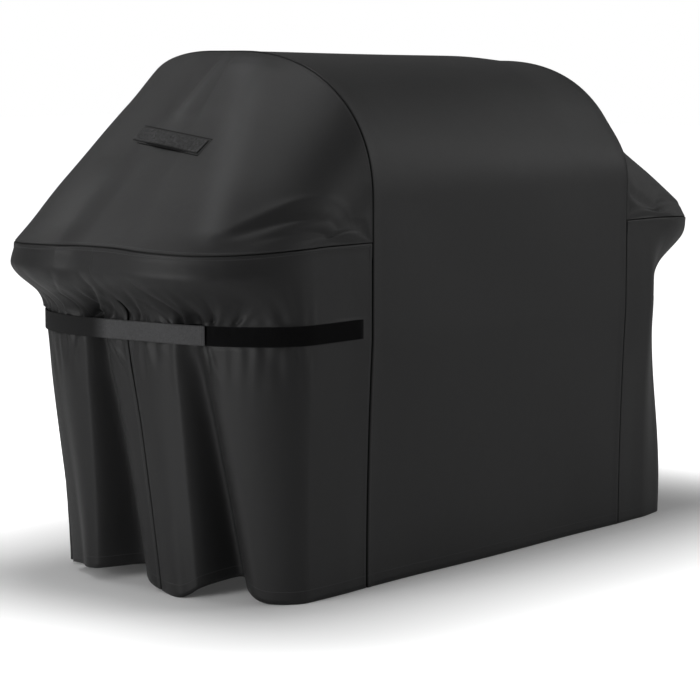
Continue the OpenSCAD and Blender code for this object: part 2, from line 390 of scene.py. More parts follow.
# The left skirt's folds, by the run along the outline at the strap and at the hem
LEFT_PLEATS = [
    Pleat((0.468, 0.464), (0.376, 0.292), (0.024, 0.088), 1.35),
    Pleat((0.706, 0.736), (0.606, 0.572), (0.030, 0.084), 2.0),
    Pleat((0.930, 0.965), (0.882, 0.860), (0.018, 0.056), 1.5),
    Pleat((1.040, 1.070), (0.985, 0.985), (0.010, 0.032), 1.5),
    Pleat((0.600, 0.592), (0.452, 0.450), (-0.003, -0.015), 1.0),
    Pleat((0.835, 0.810), (0.680, 0.700), (-0.003, -0.014), 1.0),
]
LEFT_CREASES = [
    Crease([(0.702, 0.530), (0.652, 0.565), (0.614, 0.600), (0.612, 0.645)], 0.022, 0.0075),
    Crease([(0.708, 0.530), (0.715, 0.560), (0.726, 0.592)], 0.018, 0.0120),
    Crease([(0.722, 0.530), (0.736, 0.580), (0.690, 0.615), (0.672, 0.650)], 0.014, 0.0065),
    Crease([(0.672, 0.530), (0.668, 0.565), (0.648, 0.625)], 0.010, 0.0060),
    Crease([(0.640, 0.530), (0.600, 0.575), (0.580, 0.620)], 0.006, 0.0060),
    Crease([(0.768, 0.530), (0.776, 0.572), (0.764, 0.640)], 0.012, 0.0075),
    Crease([(0.800, 0.530), (0.815, 0.572), (0.812, 0.645)], 0.012, 0.0080),
    Crease([(0.620, 0.530), (0.616, 0.560)], 0.006, 0.0060),
    Crease([(0.552, 0.530), (0.545, 0.565), (0.515, 0.614)], 0.013, 0.0055),
    Crease([(0.576, 0.530), (0.580, 0.566), (0.566, 0.606)], 0.009, 0.0065),
    Crease([(0.530, 0.530), (0.534, 0.556)], 0.006, 0.0060),
    Crease([(0.455, 0.530), (0.464, 0.565), (0.480, 0.600), (0.492, 0.634)], 0.021, 0.0095),
    Crease([(0.480, 0.530), (0.505, 0.566), (0.528, 0.600)], 0.008, 0.0070),
    Crease([(0.451, 0.530), (0.431, 0.575), (0.415, 0.616)], -0.010, 0.0055),
    Crease([(0.418, 0.530), (0.414, 0.556), (0.400, 0.594)], 0.008, 0.0070),
    Crease([(0.388, 0.530), (0.374, 0.565), (0.357, 0.604)], 0.021, 0.0085),
    Crease([(0.345, 0.530), (0.322, 0.556), (0.296, 0.590)], 0.013, 0.0075),
    Crease([(0.640, 0.492), (0.618, 0.462), (0.596, 0.424)], 0.009, 0.0060),
    Crease([(0.740, 0.494), (0.748, 0.440), (0.742, 0.390)], 0.005, 0.0140),
    Crease([(0.400, 0.492), (0.392, 0.440), (0.372, 0.385)], 0.010, 0.0075),
    Crease([(0.520, 0.494), (0.512, 0.450)], 0.003, 0.0120),
    Crease([(0.850, 0.530), (0.842, 0.565), (0.850, 0.620)], 0.013, 0.0090),
    Crease([(0.905, 0.530), (0.897, 0.560), (0.880, 0.610)], 0.012, 0.0085),
    Crease([(0.960, 0.530), (0.975, 0.565), (0.990, 0.600)], 0.011, 0.0090),
    Crease([(1.020, 0.530), (1.030, 0.556), (1.048, 0.585)], 0.008, 0.0090),
    Crease([(0.880, 0.532), (0.872, 0.580)], -0.006, 0.0080),
    Crease([(0.935, 0.532), (0.930, 0.590)], -0.006, 0.0090),
]
LEFT_HEM = [(0.0, 0), (0.25, 0), (0.30, 0.002), (0.335, 0.022), (0.40, 0.034), (0.45, 0.024),
            (0.49, 0), (0.56, 0), (0.60, 0.008), (0.65, 0.026), (0.70, 0.026), (0.76, 0.022),
            (0.83, 0.020), (0.90, 0.012), (1.0, 0.005), (1.17, 0)]


# Where the fixing strips start: the left one by its distance from the middle, beside the arch
# seam, and the right one by its place on the outline. Both stop at a place under the strap.
LEFT_LOOP_X, RIGHT_LOOP_FROM, LOOP_TO = 0.480, 1.45, 1.97


def varied(pleats, creases, seed):
    """The same folds, each moved and rescaled a little, so that no two ends are alike."""
    rng = np.random.default_rng(seed)
    new_pleats = []
    for p in pleats:
        shift = rng.uniform(-0.016, 0.016)
        scale = rng.uniform(0.7, 1.05)
        new_pleats.append(Pleat([r + shift for r in p.steep], [r + shift for r in p.gentle],
                                [d * scale for d in p.depth], p.skew))
    new_creases = []
    for c in creases:
        shift = rng.uniform(-0.018, 0.018)
        new_creases.append(Crease([(r + shift, z) for r, z in c.path],
                                  c.depth * rng.uniform(0.6, 1.1), c.width, c.blunt))
    return new_pleats, new_creases


class Half:
    """One end of the cover, with its own folds. Its points come out mirrored to its side."""

    def __init__(self, shape, side):
        self.shape, self.side, self.sign = shape, side, SIDES[side]
        if side == "left":
            self.pleats, self.creases, self.hem = LEFT_PLEATS, LEFT_CREASES, LEFT_HEM
        else:
            self.pleats, self.creases = varied(LEFT_PLEATS, LEFT_CREASES, 41)
            self.hem = [(r, z * 0.7) for r, z in LEFT_HEM]
        left_from = (LEFT_LOOP_X - shape.hood) / (shape.corner_x - shape.hood)
        self.loop_from = left_from if side == "left" else RIGHT_LOOP_FROM

    def hem_lift(self, run):
        """How far the hem rises off the floor, with its corners rounded off."""
        runs = [r for r, _ in self.hem]
        lifts = [z for _, z in self.hem]
        return sum(np.interp(run + d, runs, lifts) for d in (-0.018, -0.009, 0, 0.009, 0.018)) / 5

    def flare(self, t, z):
        """How far the cloth stands out from the even outline, where it is puffed or drawn in."""
        shape = self.shape
        above = ease((z - shape.strap_top) / (shape.shelf - 0.02 - shape.strap_top))
        fall = np.clip(1 - z / shape.strap_foot, 0, 1)
        if self.side == "left":
            puffed = 0.022 * ease((t - 2.7) / 0.6) * ease((4.5 - t) / 0.7) * above
            puffed = puffed + self.puff(t, z)
            return puffed - 0.016 * np.exp(-((t - 3.5) / 0.6) ** 2) * ease(fall)
        corner = ease((t - 0.55) / 0.6) * ease((1.74 - t) / 0.34)
        drawn = 0.047 * corner * ease((shape.shelf - 0.012 - z) / 0.125)
        return self.puff(t, z) - drawn * (1 - 0.72 * ease(fall / 0.95))

    def puff(self, t, z):
        """The band's fullness under the shelf seam."""
        shape = self.shape
        below = ease((shape.shelf - z) / 0.052) * ease((z - shape.strap_top - 0.01) / 0.07)
        return 0.0110 * below * ease((t - 1.2) / 0.5) * ease((4.4 - t) / 0.5)

    def gusset_sag(self, t, r):
        """How far the sloping panel hangs in from the straight line between its two seams."""
        front = np.exp(-((t - 1.45) / 0.6) ** 4)
        depth = 0.026 if self.side == "right" else 0.0
        return depth * front * ease(r / 0.8) * ease((1 - r) / 0.2)

    def ridges(self, t, r):
        """The sloping panel's long soft ridges, and the small crumples over its front corner."""
        place = t if self.side == "left" else t + 0.12 - 0.2 * r
        ends = ease(r / 0.10) * ease((1 - r) / 0.10)
        main = 0.0125 * np.exp(-np.abs((place - 1.59 - 0.36 * r) / 0.15) ** 1.6)
        broad = 0.0070 * np.exp(-((place - 2.95 + 0.7 * r) / 0.18) ** 2) * ease((r - 0.5) / 0.25)
        low = 0.0075 * np.exp(-((place - 2.97) / 0.15) ** 2) * ease((0.44 - r) / 0.2)
        high = 0.0
        for at, top, depth, width in ((1.60, 0.55, 0.0075, 0.036), (1.62, 0.90, -0.0040, 0.040),
                                      (1.45, 0.40, 0.0040, 0.026), (1.25, 0.70, 0.0036, 0.040)):
            line = 0.06 + (at - place) * top
            fade = np.exp(-((place - at + 0.30) / 0.25) ** 2)
            high = high - depth * np.exp(-np.abs((r - line) / width) ** 1.3) * fade
        return (main + broad + low + high) * ends

    def painted_crest_highlight(self, t, r):
        """1 along the crests of the sloping panel, where a painted highlight makes the cloth
        paler.
        """
        front = np.exp(-((t - 1.60 - 0.36 * r) / 0.070) ** 2)
        high = np.exp(-((t - 2.98 + 0.72 * r) / 0.20) ** 2) * ease((r - 0.45) / 0.25)
        low = np.exp(-((t - 2.98) / 0.20) ** 2) * ease((0.46 - r) / 0.2)
        ends = ease(r / 0.12) * ease((1 - r) / 0.06)
        return (front + 0.65 * high + 0.45 * low) * ends

    def handle_bed(self, t, r):
        """1 where the cloth lies flat under the handle, and 0 away from it."""
        return np.exp(-((t - 2.48) / 0.60) ** 6 - ((r - 0.54) / 0.12) ** 6)

    def seam_sag(self, t):
        """How far the shelf seam dips at the front and back corners."""
        return 0.010 * np.exp(-((t - 1.58) / 0.42) ** 2) + 0.004 * np.exp(-((t - 3.5) / 0.4) ** 2)

    def folded(self, t, z, run, fall):
        """How far in the folds, the broad waves and the puckers by the strap take the cloth."""
        shape = self.shape
        below_band = 1 - ease((z - shape.strap_top) / 0.055)
        inward = np.zeros(np.broadcast(t, z).shape)
        for pleat in self.pleats:
            inward = inward + pleat.inward(run, fall) * below_band * shape.folds.pleats
        for crease in self.creases:
            inward = inward + crease.inward(run, z) * shape.folds.gathers
        loose = ease((shape.shelf - z) / 0.10) * ease(t / 0.4) * ease((5 - t) / 0.4)
        inward = inward + shape.folds.slack * loose * wave(run, z, 5 + int(self.sign), 0.42)
        pucker = np.exp(-((z - shape.strap_mid) / 0.075) ** 2) * ease((t - 0.9) / 0.3)
        pucker = pucker * ease((4.4 - t) / 0.3)
        return inward + 0.0026 * pucker * wave(run, z * 0.25, 23 + int(self.sign), 0.036)

    def pressed(self, t, z, inward):
        """The folds' depth once the sewn strip stiffens the cloth and the strap holds it in."""
        past_strap = np.abs(z - self.shape.strap_mid) - self.shape.strap_half
        stiff = ease((t - self.loop_from + 0.1) / 0.1) * ease((1.79 - t) / 0.05)
        stiff = stiff * (1 - ease(past_strap / 0.004))
        inward = inward * (1 - 0.88 * stiff)
        strapped = ease((t - 1.62) / 0.12) * ease((4.5 - t) / 0.1)
        held = -0.0016 - 0.03 * np.clip(past_strap / 0.02, 0, 1)
        return inward + strapped * (np.maximum(inward, held) - inward)

    def skirt(self, t, z):
        """The skirt's outer face at place t and flat height z."""
        shape = self.shape
        run = shape.at_strap(t)
        fall = np.clip(1 - z / shape.strap_foot, 0, 1)
        inward = self.pressed(t, z, self.folded(t, z, run, fall)) - self.flare(t, z)
        nx, ny = shape.outward(t, z)
        x, y = shape.outline(t, z)
        x, y = x - nx * inward, y - ny * inward
        end = ease((t - 1.7) / 0.6) * ease((3.3 - t) / 0.6)
        y = y - end * 0.036 * fall + end * 0.008 * ease((z - 0.3) / 0.2)
        near_shelf = ease(1 - (shape.shelf - z) / 0.11)
        up = z + self.hem_lift(run) * fall ** 1.2 - self.seam_sag(t) * near_shelf
        return np.stack([x * self.sign, y, up], -1)

    def gusset(self, t, r):
        """The sloping panel's outer face: r is 0 at the shelf seam and 1 at the arch seam."""
        shape = self.shape
        x0, y0 = shape.outline(t, shape.shelf)
        nx, ny = shape.outward(t, shape.shelf + 0 * t)
        puffed = self.flare(t, shape.shelf) * (1 - self.handle_bed(t, r))
        x0, y0 = x0 + nx * puffed, y0 + ny * puffed
        a = shape.arch_place(t)
        y1, z1 = shape.arch_point(a)
        drop = shape.hood_drop(shape.hood * self.sign, a)
        iy, iz = shape.arch_inward(a)
        y1, z1 = y1 + iy * drop, z1 + iz * drop
        x = x0 + (shape.hood - x0) * r
        y = y0 + (y1 - y0) * r
        z = shape.shelf + (z1 - shape.shelf) * r - self.seam_sag(t) * ease(1 - r / 0.35)
        free = ease(r / 0.2) * ease((1 - r) / 0.2) * ease(t / 0.5) * ease((5 - t) / 0.5)
        bed = self.handle_bed(t, r)
        free = free * (1 - bed)
        rise = shape.folds.slack * 1.3 * free * wave(t * 0.3, r * 0.55, 31 + int(self.sign), 0.33)
        rise = rise - self.gusset_sag(t, r) + self.ridges(t, r) * (1 - bed)
        return np.stack([(x + rise * nx * 0.7) * self.sign, y + rise * ny * 0.7,
                         z + rise * 0.7], -1)


def new_piece(name, mesh, material):
    """Adds a mesh to the scene as a piece with its material and slot."""
    piece = bpy.data.objects.new(name, mesh)
    bpy.context.scene.collection.objects.link(piece)
    mesh.materials.append(material)
    return piece


def formed_sheet(name, us, vs, place, flat, inside, extras=None, relief=None):
    """A grid with a column at each of us and a row at each of vs, moved to place(u, v), and then
    by relief(u, v) along its own normals. Its UV map holds flat(u, v), the cut cloth's own
    measure, extras(u, v) gives named attributes, and its faces point away from inside."""
    cols, rows = len(us), len(vs)
    grid = bmesh.new()
    bmesh.ops.create_grid(grid, x_segments=cols - 1, y_segments=rows - 1, size=0.5)
    mesh = bpy.data.meshes.new(name)
    grid.to_mesh(mesh)
    grid.free()
    start = np.empty(len(mesh.vertices) * 3)
    mesh.vertices.foreach_get("co", start)
    start = start.reshape(-1, 3)
    u = np.asarray(us)[np.rint((start[:, 0] + 0.5) * (cols - 1)).astype(int)]
    v = np.asarray(vs)[np.rint((start[:, 1] + 0.5) * (rows - 1)).astype(int)]
    points = place(u, v)
    mesh.vertices.foreach_set("co", points.astype(np.float32).ravel())
    corner = np.empty(len(mesh.loops), int)
    mesh.loops.foreach_get("vertex_index", corner)
    layer = mesh.uv_layers.new(name="UVMap")
    layer.data.foreach_set("uv", flat(u, v)[corner].astype(np.float32).ravel())
    for key, values in (extras(u, v) if extras else {}).items():
        attribute = mesh.attributes.new(key, "FLOAT", "POINT")
        attribute.data.foreach_set("value", values.astype(np.float32))
    mesh.update()
    normal = np.empty(len(mesh.polygons) * 3)
    mesh.polygons.foreach_get("normal", normal)
    centre = np.empty(len(mesh.polygons) * 3)
    mesh.polygons.foreach_get("center", centre)
    away = centre.reshape(-1, 3) - np.asarray(inside)
    if np.sum(normal.reshape(-1, 3) * away) < 0:
        mesh.flip_normals()
    if relief:
        mesh.update()
        square = np.empty(len(mesh.vertices) * 3)
        mesh.vertex_normals.foreach_get("vector", square)
        points = points + square.reshape(-1, 3) * relief(u, v)[:, None]
        mesh.vertices.foreach_set("co", points.astype(np.float32).ravel())
        mesh.update()
    mesh.shade_smooth()
    return mesh


def thicken(piece, thickness):
    """Gives a sheet its thickness, inwards from its outer face."""
    wall = piece.modifiers.new("Thickness", "SOLIDIFY")
    wall.thickness = thickness
    wall.offset = -1.0
    wall.use_even_offset = False
    wall.use_quality_normals = True


def spaced(low, high, pitch, edges=(False, False)):
    """Even stations from low to high, with fine ones beside an end that is a seam."""
    fine = np.array([0.0012, 0.0026, 0.0045, 0.0068])
    values = np.linspace(low, high, max(2, int(round((high - low) / pitch)) + 1))
    if edges[0]:
        values = np.concatenate([[low], low + fine, values[values > low + 0.010]])
    if edges[1]:
        values = np.concatenate([values[values < high - 0.010], high - fine[::-1], [high]])
    return values


def seam_dip(edge, lip):
    """How far the face sinks beside a seam, edge metres away. The lip side stands up first."""
    dip = -1.0 * (1 - ease(edge / 0.0028))
    ridge = ease(edge / 0.0030) * (1 - ease((edge - 0.0065) / 0.0035))
    return dip, ridge * lip


class Value:
    """A number in a material's node tree. Its operators add the Math nodes."""

    def __init__(self, finish, socket):
        self.finish, self.socket = finish, socket

    def _math(self, operation, *terms):
        return self.finish.value("ShaderNodeMath", {"operation": operation}, list(terms))

    def __add__(self, other):
        return self._math("ADD", self, other)

    def __radd__(self, other):
        return self._math("ADD", other, self)

    def __sub__(self, other):
        return self._math("SUBTRACT", self, other)

    def __rsub__(self, other):
        return self._math("SUBTRACT", other, self)

    def __mul__(self, other):
        return self._math("MULTIPLY", self, other)

    def __rmul__(self, other):
        return self._math("MULTIPLY", other, self)

    def __truediv__(self, other):
        return self._math("DIVIDE", self, other)

    def __pow__(self, other):
        return self._math("POWER", self, other)

    def __abs__(self):
        return self._math("ABSOLUTE", self)

    def sine(self):
        return self._math("SINE", self)

    def part(self):
        return self._math("FRACT", self)

    def most(self, other):
        return self._math("MAXIMUM", self, other)

    def band(self, middle, half, soft):
        """1 within half of middle, falling to 0 over soft."""
        far = abs(self - middle) - half
        return self.finish.limited(1.0 - far / soft)


class Finish:
    """A material built up by code round one Principled shader."""

    def __init__(self, name, **constants):
        self.material = bpy.data.materials.new(name)
        self.material.use_nodes = True
        self.tree = self.material.node_tree
        self.tree.nodes.clear()
        self.shader = self.tree.nodes.new("ShaderNodeBsdfPrincipled")
        self.surface = self.tree.nodes.new("ShaderNodeOutputMaterial").inputs["Surface"]
        self.tree.links.new(self.shader.outputs["BSDF"], self.surface)
        for key, value in constants.items():
            self.shader.inputs[key.replace("_", " ")].default_value = value
        self.place = self.node("ShaderNodeTexCoord")

    def node(self, kind, settings=None, inputs=None):
        made = self.tree.nodes.new(kind)
        for key, value in (settings or {}).items():
            setattr(made, key, value)
        pairs = inputs.items() if isinstance(inputs, dict) else enumerate(inputs or [])
        for key, value in pairs:
            self.feed(made.inputs[key], value)
        return made

    def feed(self, socket, value):
        if isinstance(value, Value):
            value = value.socket
        if isinstance(value, bpy.types.NodeSocket):
            self.tree.links.new(value, socket)
        else:
            socket.default_value = value

    def value(self, kind, settings=None, inputs=None, output=0):
        return Value(self, self.node(kind, settings, inputs).outputs[output])

    def limited(self, value):
        return self.value("ShaderNodeClamp", None, {"Value": value})

    def attribute(self, name):
        found = self.node("ShaderNodeAttribute", {"attribute_name": name})
        return Value(self, found.outputs["Fac"])

    def flat(self):
        """The cut cloth's own two measures, in metres."""
        parts = self.node("ShaderNodeSeparateXYZ", None, [self.place.outputs["UV"]])
        return Value(self, parts.outputs["X"]), Value(self, parts.outputs["Y"])

    def noise(self, scale, detail=3.0, roughness=0.55, vector=None):
        vector = vector or self.place.outputs["Object"]
        return self.value("ShaderNodeTexNoise", None,
                          {"Vector": vector, "Scale": scale, "Detail": detail,
                           "Roughness": roughness})

    def blend(self, share, first, second):
        mixed = self.node("ShaderNodeMix", {"data_type": "RGBA"},
                          {"Factor": share, 6: first, 7: second})
        return mixed.outputs[2]

    def bumps(self, *layers):
        """Stacks (height, distance in metres, strength) layers into one normal."""
        normal = None
        for height, distance, strength in layers:
            inputs = {"Height": height, "Distance": distance, "Strength": strength}
            if normal:
                inputs["Normal"] = normal
            normal = self.node("ShaderNodeBump", None, inputs).outputs["Normal"]
        self.feed(self.shader.inputs["Normal"], normal)

    def shade(self, share):
        """Lays a dull, nearly black surface over this one, as far as share goes: painted shade."""
        dull = self.node("ShaderNodeBsdfPrincipled", None,
                         {"Base Color": rgba((0.002, 0.002, 0.002)), "Roughness": 1.0,
                          "Specular IOR Level": 0.05})
        mixed = self.node("ShaderNodeMixShader", None,
                          [share, self.shader.outputs["BSDF"], dull.outputs["BSDF"]])
        self.tree.links.new(mixed.outputs["Shader"], self.surface)

    def set(self, **sockets):
        for key, value in sockets.items():
            self.feed(self.shader.inputs[key.replace("_", " ")], value)


def rgba(colour, scale=1.0):
    """A colour, made darker or paler by scale, as a socket takes it."""
    return (colour[0] * scale, colour[1] * scale, colour[2] * scale, 1.0)


def weave_height(finish, pitch):
    """Plain weave: warp and weft threads that pass over each other in turn."""
    u, v = finish.flat()
    turn = 2 * math.pi / pitch
    return (u * turn).sine() * (v * turn).sine()


def stitch_line(finish, across, along, at, stitch=0.0042, half=0.00055):
    """Dashes of thread at a set distance from an edge."""
    dash = ((along / stitch).part()).band(0.5, 0.30, 0.10)
    return across.band(at, half, 0.0004) * dash


def cloth_finish(name, colours, inside=False):
    """Coated woven polyester: satin, very dark, with a fine weave and a faint crumple."""
    cloth = Finish(name, IOR=1.38, Sheen_Weight=0.03, Sheen_Roughness=0.45)
    cloud = cloth.noise(2.3, 4.0)
    grain = cloth.noise(420.0, 2.0)
    edge, along = cloth.attribute("edge"), cloth.attribute("along")
    hem = cloth.attribute("hem")
    crease = cloth.limited(1.3 - edge / 0.0024)
    lip = edge.band(0.0048, 0.0016, 0.002)
    stitches = stitch_line(cloth, edge, along, 0.0080)
    hem_stitch = stitch_line(cloth, hem, along, 0.0240)
    thread = stitches.most(hem_stitch)
    tone = 0.86 + cloud * 0.20 + grain * 0.10
    dark, pale = rgba(colours.cloth, 0.80), rgba(colours.cloth, 1.22)
    base = cloth.blend(cloth.limited((tone - 0.80) * 2.0), dark, pale)
    # Painted highlight: the cloth is made up to 2.8 times paler along the sloping panels' crests,
    # where light catches them.
    base = cloth.blend(cloth.attribute("painted_crest_highlight"), base, rgba(colours.cloth, 2.8))
    # Painted shade: within about 3 mm of a seam the cloth turns near black, as its groove is
    # shaded.
    base = cloth.blend(crease * 0.95, base, rgba(colours.cloth, 0.10))
    # Painted highlight: the cloth is paler on the lip that stands up beside a seam, where light
    # catches it.
    base = cloth.blend(lip * 0.20, base, rgba(colours.cloth, 1.5))
    base = cloth.blend(thread * 0.7, base, rgba(colours.thread))
    rough = 0.47 + cloud * 0.05 + grain * 0.05 + thread * 0.2
    cloth.set(Base_Color=base, Roughness=rough)
    # Painted shade: a dull, nearly black surface is laid over the seams' grooves.
    cloth.shade(crease * 0.8)
    crumple = cloth.noise(14.0, 5.0, 0.6)
    cloth.bumps((crumple, 0.0016, 0.55 if not inside else 0.3),
                (weave_height(cloth, 0.0014), 0.00012, 0.45),
                (thread, 0.0006, 0.8))
    return cloth.material


def webbing_stitches(web):
    """Two rows across a free end, and a crossed box on a sewn one."""
    u, v = web.flat()
    free, sewn = web.attribute("free"), web.attribute("sewn")
    aside = abs(v)
    across = ((v / 0.0040).part()).band(0.5, 0.30, 0.1)
    along = ((u / 0.0040).part()).band(0.5, 0.30, 0.1)
    thin, soft = 0.00050, 0.0003
    rows = free.band(0.0035, thin, soft).most(free.band(0.0075, thin, soft)) * across
    ends = sewn.band(0.004, thin, soft).most(sewn.band(0.028, thin, soft)) * across
    within_v = web.limited((0.0158 - aside) * 4000.0)
    within_u = sewn.band(0.016, 0.0122, 0.0003)
    sides = aside.band(0.0154, thin, soft) * within_u * along
    slant = (sewn - 0.016) / 0.012 - aside / 0.0154
    other = (sewn - 0.016) / 0.012 + aside / 0.0154
    cross = (slant.band(0.0, 0.035, 0.02)).most(other.band(0.0, 0.035, 0.02))
    cross = cross * within_u * along
    return rows.most(ends * within_v).most(sides).most(cross * within_v)


def webbing_finish(name, colour, thread, mottle=0.0, spread=0.4, fade=None):
    """Woven webbing: ribs across, threads along, and darker selvedges. fade gives where along it
    painted shade starts to darken the webbing, and where it is deepest."""
    web = Finish(name, IOR=1.38, Sheen_Weight=0.10, Sheen_Roughness=0.4)
    u, v = web.flat()
    rib_pitch, yarn_pitch, selvedge_from = 0.0021, 0.0017, 0.0168
    ribs = (u * (2 * math.pi / rib_pitch)).sine()
    yarns = (v * (2 * math.pi / yarn_pitch)).sine()
    selvedge = web.limited((abs(v) - selvedge_from) / 0.0012)
    fuzz = web.noise(300.0, 3.0)
    patch = web.noise(150.0, 4.0, 0.75)
    stitches = webbing_stitches(web)
    tone = 0.5 + ribs * yarns * 0.22 + (fuzz - 0.5) * 0.9 + (patch - 0.5) * mottle
    base = web.blend(web.limited(tone), rgba(colour, 1 - spread), rgba(colour, 1 + spread * 1.6))
    base = web.blend(selvedge * 0.6, base, rgba(colour, 0.35))
    # Painted shade: from the first place of fade to the second the webbing darkens and a dull
    # black surface is mixed over it, and it stays so beyond.
    if fade is not None:
        deep = web.limited((u - fade[0]) / (fade[1] - fade[0]))
        base = web.blend(deep * 0.75, base, rgba(colour, 0.25))
        web.shade(deep * 0.58)
    base = web.blend(stitches * 0.8, base, rgba(thread, 1.25))
    web.set(Base_Color=base, Roughness=0.80 - stitches * 0.2)
    web.bumps((patch, 0.0012, 0.2 + 0.3 * mottle), (ribs * yarns, 0.0004, 0.8),
              (stitches, 0.0008, 0.9))
    return web.material


def pile_finish(name, colours):
    """The loop side of hook-and-loop tape: deep black, napped and dull."""
    pile = Finish(name, IOR=1.2, Sheen_Weight=0.0)
    nap = pile.noise(900.0, 3.0, 0.7)
    clump = pile.noise(160.0, 3.0)
    _, v = pile.flat()
    binding = pile.limited((abs(v) - 0.0170) / 0.0010)
    tone = pile.limited(nap * 0.7 + clump * 0.5 - 0.1)
    base = pile.blend(tone, rgba(colours.pile, 0.5), rgba(colours.pile, 1.7))
    base = pile.blend(binding * 0.6, base, rgba(colours.pile, 3.0))
    stitches = webbing_stitches(pile)
    base = pile.blend(stitches * 0.8, base, rgba(colours.thread, 0.5))
    pile.set(Base_Color=base, Roughness=0.95)
    pile.bumps((nap, 0.0009, 0.9), (clump, 0.0012, 0.4), (stitches, 0.0006, 0.7))
    return pile.material


def hook_finish(name, colours):
    """The hook side: rows of small stiff plastic hooks."""
    hook = Finish(name, IOR=1.45)
    rows = hook.value("ShaderNodeTexWave", {"wave_type": "BANDS", "bands_direction": "Z"},
                      {"Vector": hook.place.outputs["Object"], "Scale": 180.0, "Distortion": 1.5})
    tufts = hook.noise(900.0, 2.0)
    base = hook.blend(rows, rgba(colours.pile, 1.0), rgba(colours.pile, 5.0))
    hook.set(Base_Color=base, Roughness=0.55 + tufts * 0.2)
    hook.bumps((rows, 0.0008, 0.8), (tufts, 0.0005, 0.5))
    return hook.material


FINISHES = {}
PAINTED_SHADE_BETWEEN = (2.82, 3.02)    # the places between which painted shade deepens on a strap


def finish(slot):
    """The material of a slot, made once."""
    if slot not in FINISHES:
        colours = bpy.context.scene.cover_colours
        made = {
            "cover_cloth": lambda: cloth_finish("coated_polyester", colours),
            "seam_tape": lambda: cloth_finish("seam_tape", colours, inside=True),
            "cinch_webbing": lambda: webbing_finish("ribbed_webbing", colours.webbing,
                                                    colours.thread, 0.35,
                                                    fade=shape().at_strap(PAINTED_SHADE_BETWEEN)),
            "handle_webbing": lambda: webbing_finish("handle_webbing", colours.handle,
                                                     colours.thread, 4.4, 0.85),
            "loop_pile": lambda: pile_finish("loop_pile", colours),
            "hook_tape": lambda: hook_finish("hook_tape", colours),
        }[slot]
        FINISHES[slot] = made()
    return FINISHES[slot]


MADE = {}


def shape():
    """The cover's shape, worked out once from the sizes."""
    if "shape" not in MADE:
        scene = bpy.context.scene
        MADE["shape"] = Shape(scene.cover_sizes, scene.cover_folds)
    return MADE["shape"]


def half(side):
    """One end's shape, worked out once."""
    if side not in MADE:
        MADE[side] = Half(shape(), side)
    return MADE[side]


INSIDE = (0.0, 0.0, 0.45)


class GRILLCOVER_OT_centre_panel(bpy.types.Operator):
    """Makes the strip that runs from the front hem over the hood to the back hem"""
    bl_idname = "grillcover.centre_panel"
    bl_label = "Centre Panel"

    def execute(self, context):
        form, sizes = shape(), context.scene.cover_sizes
        rise = np.linspace(0, form.shelf, 60)[:-1]
        arch = np.concatenate([np.linspace(0, 1, 9)[:-1], np.linspace(1, 2, 61)[:-1],
                               np.linspace(2, 3, 5)[:-1], np.linspace(3, 4, 25)[:-1],
                               np.linspace(4, 5, 40)])
        arch_y, arch_z = form.arch_point(arch)
        ys = np.concatenate([-form.depth(rise), arch_y, form.depth(rise[::-1])])
        stations = np.concatenate([0 * rise, arch, 5 + 0 * rise])
        zs = np.concatenate([rise, arch_z, rise[::-1]])
        runs = np.concatenate([[0], np.cumsum(np.hypot(np.diff(ys), np.diff(zs)))])
        length = runs[-1]
        ny, nz = np.gradient(zs, runs), -np.gradient(ys, runs)
        size = np.hypot(ny, nz)
        ny, nz = -ny / size, -nz / size

        def place(u, v):
            y, z = np.interp(v, runs, ys), np.interp(v, runs, zs)
            free = ease((form.hood - np.abs(u)) / 0.22)
            rise_by = context.scene.cover_folds.slack * 0.9 * free * wave(u, v, 3, 0.5)
            rise_by = rise_by - form.hood_drop(u, np.interp(v, runs, stations))
            oy, oz = np.interp(v, runs, ny), np.interp(v, runs, nz)
            return np.stack([u, y + oy * rise_by, z + oz * rise_by], -1)

        def extras(u, v):
            return {"edge": form.hood - np.abs(u), "along": v,
                    "hem": np.minimum(v, length - v)}

        def relief(u, v):
            dip, ridge = seam_dip(form.hood - np.abs(u), 0.0011)
            return dip * sizes.groove + ridge

        name = "centre_panel_cloth"
        mesh = formed_sheet(name, spaced(-form.hood, form.hood, 0.010, (True, True)),
                            spaced(0, length, 0.011), place, lambda u, v: np.stack([u, v], -1),
                            INSIDE, extras, relief)
        piece = new_piece(name, mesh, finish("cover_cloth"))
        thicken(piece, sizes.cloth)
        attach(piece, "cover")
        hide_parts("centre_panel")
        return {"FINISHED"}


